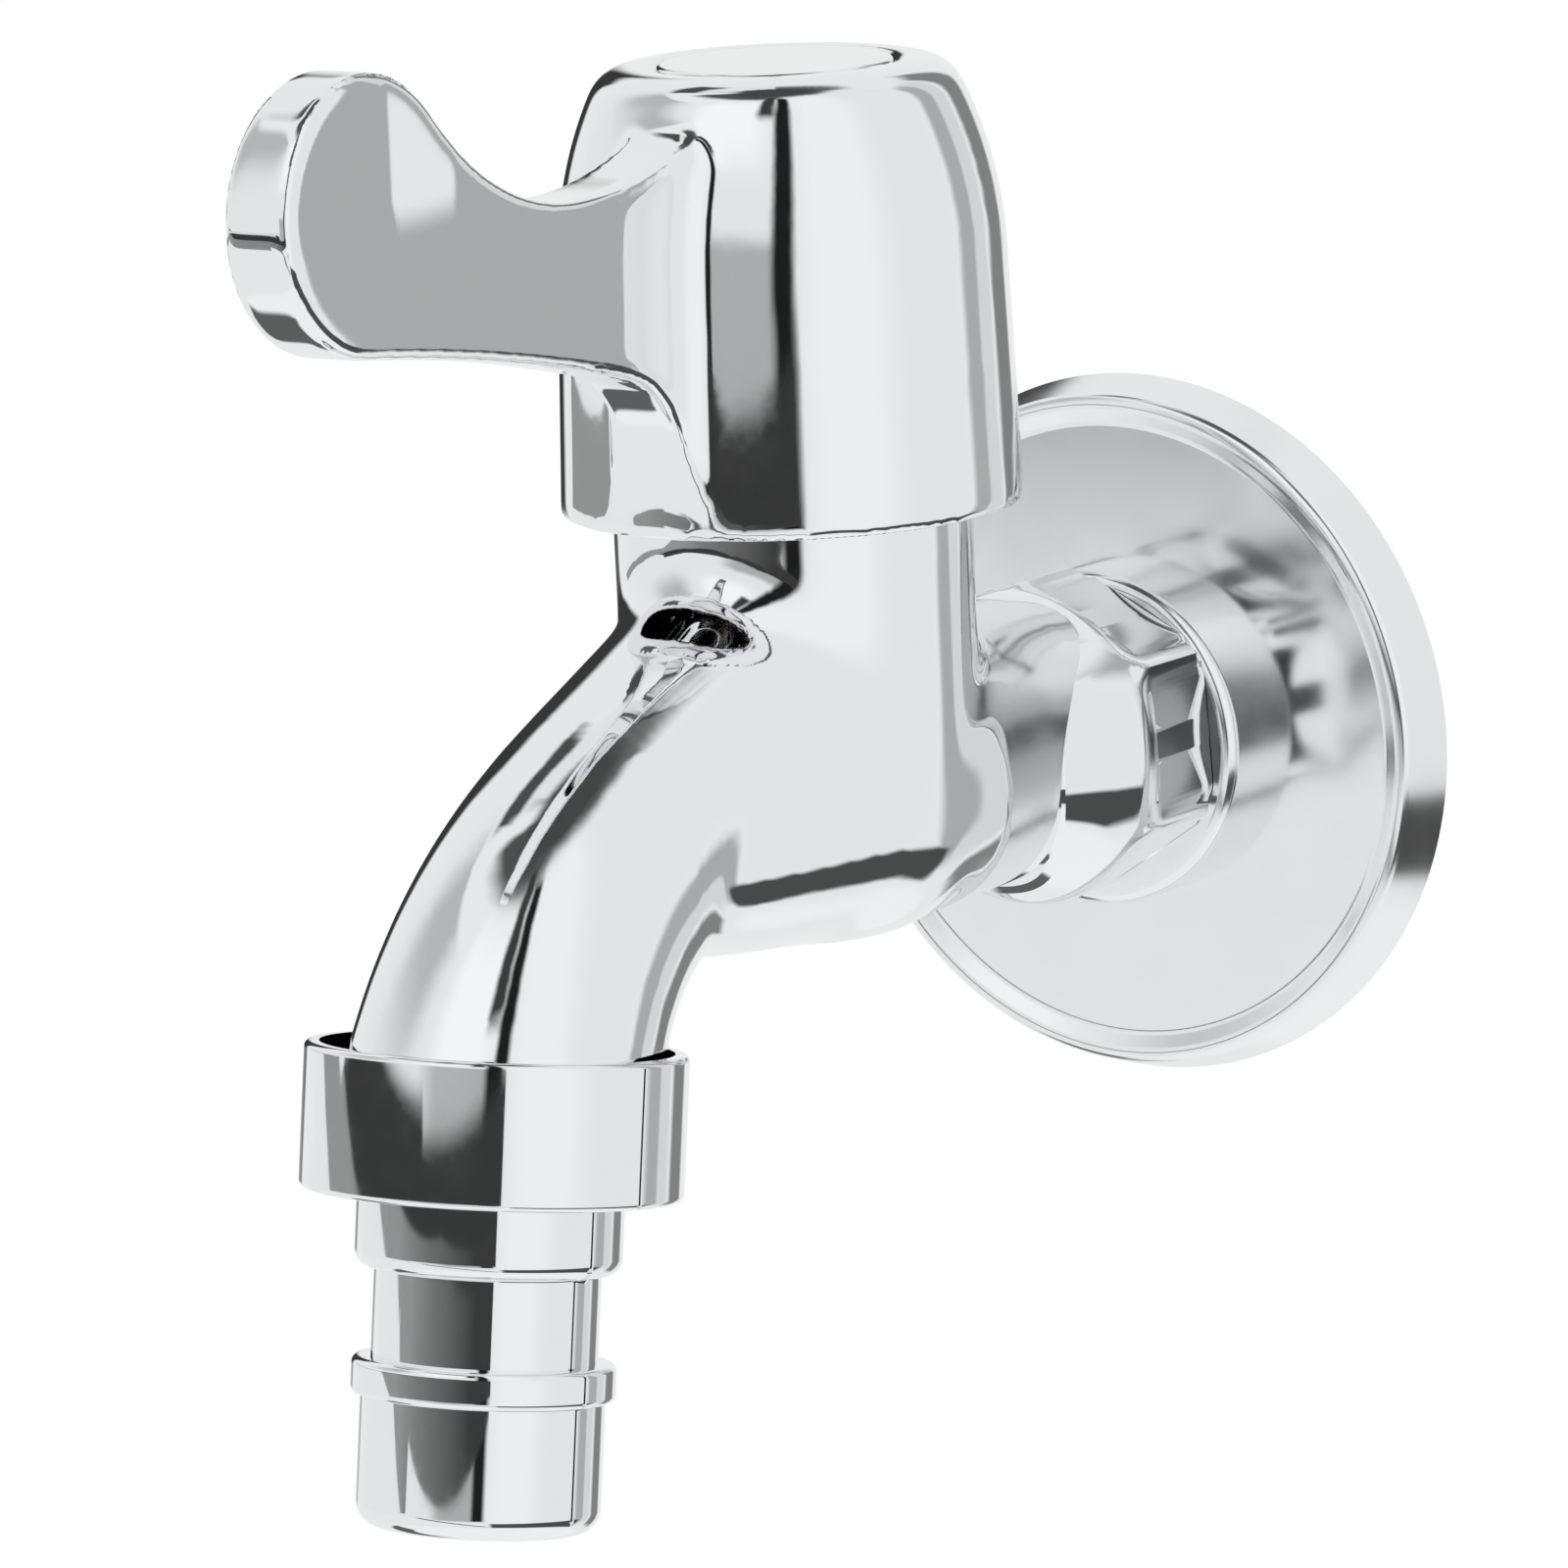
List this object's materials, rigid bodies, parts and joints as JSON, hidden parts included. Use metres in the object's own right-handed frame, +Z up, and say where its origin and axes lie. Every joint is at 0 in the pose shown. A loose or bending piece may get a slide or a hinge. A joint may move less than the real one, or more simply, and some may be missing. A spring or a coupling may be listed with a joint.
{
  "type": "garden tap",
  "caption": "Wall-mounted garden tap with a quarter-turn ceramic valve, a lever handle, a curved spout, a wall flange and a stepped hose nozzle.",
  "frame": {"origin": "on the axis of the threaded inlet, in the plane of the wall that the flange covers", "axes": "+Y along the inlet axis into the wall, +Z up, and the spout and lever point towards -Y"},
  "size_m": [0.06, 0.1317, 0.1174],
  "materials": {
    "chrome_body": "bright chrome plate on a cast body",
    "chrome_handle": "bright chrome plate on a moulding",
    "chrome_nozzle": "bright chrome plate on a moulding, with a few specks",
    "chrome_flange": "bright chrome plate on pressed sheet",
    "brass": "turned, unplated",
    "stainless_steel": "bright, as turned or stamped",
    "alumina_ceramic": "lapped ceramic, off white",
    "white_acetal": "moulded, satin",
    "black_rubber": "matt"
  },
  "bodies": {
    "tap": {"tap_body": "chrome_body", "wall_flange": "chrome_flange", "hose_nozzle": "chrome_nozzle", "nozzle_washer": "black_rubber", "valve_bonnet": "brass", "bonnet_gasket": "black_rubber", "fixed_disc": "alumina_ceramic", "seat_seal": "black_rubber", "seat_support_ring": "white_acetal"},
    "handle": {"lever_handle": "chrome_handle", "index_cap": "chrome_handle", "handle_screw": "stainless_steel", "screw_washer": "stainless_steel", "spline_bush": "white_acetal", "spindle": "brass", "spindle_oring_lower": "black_rubber", "spindle_oring_upper": "black_rubber", "spindle_circlip": "stainless_steel", "slip_washer": "white_acetal", "moving_disc": "alumina_ceramic"}
  },
  "joints": [
    {"name": "lever_turn", "type": "hinge", "parent": "tap", "child": "handle", "pos_m": [0, -0.0511, 0.045], "axis": [0, 0, 1], "range_deg": [0, 90]}
  ]
}
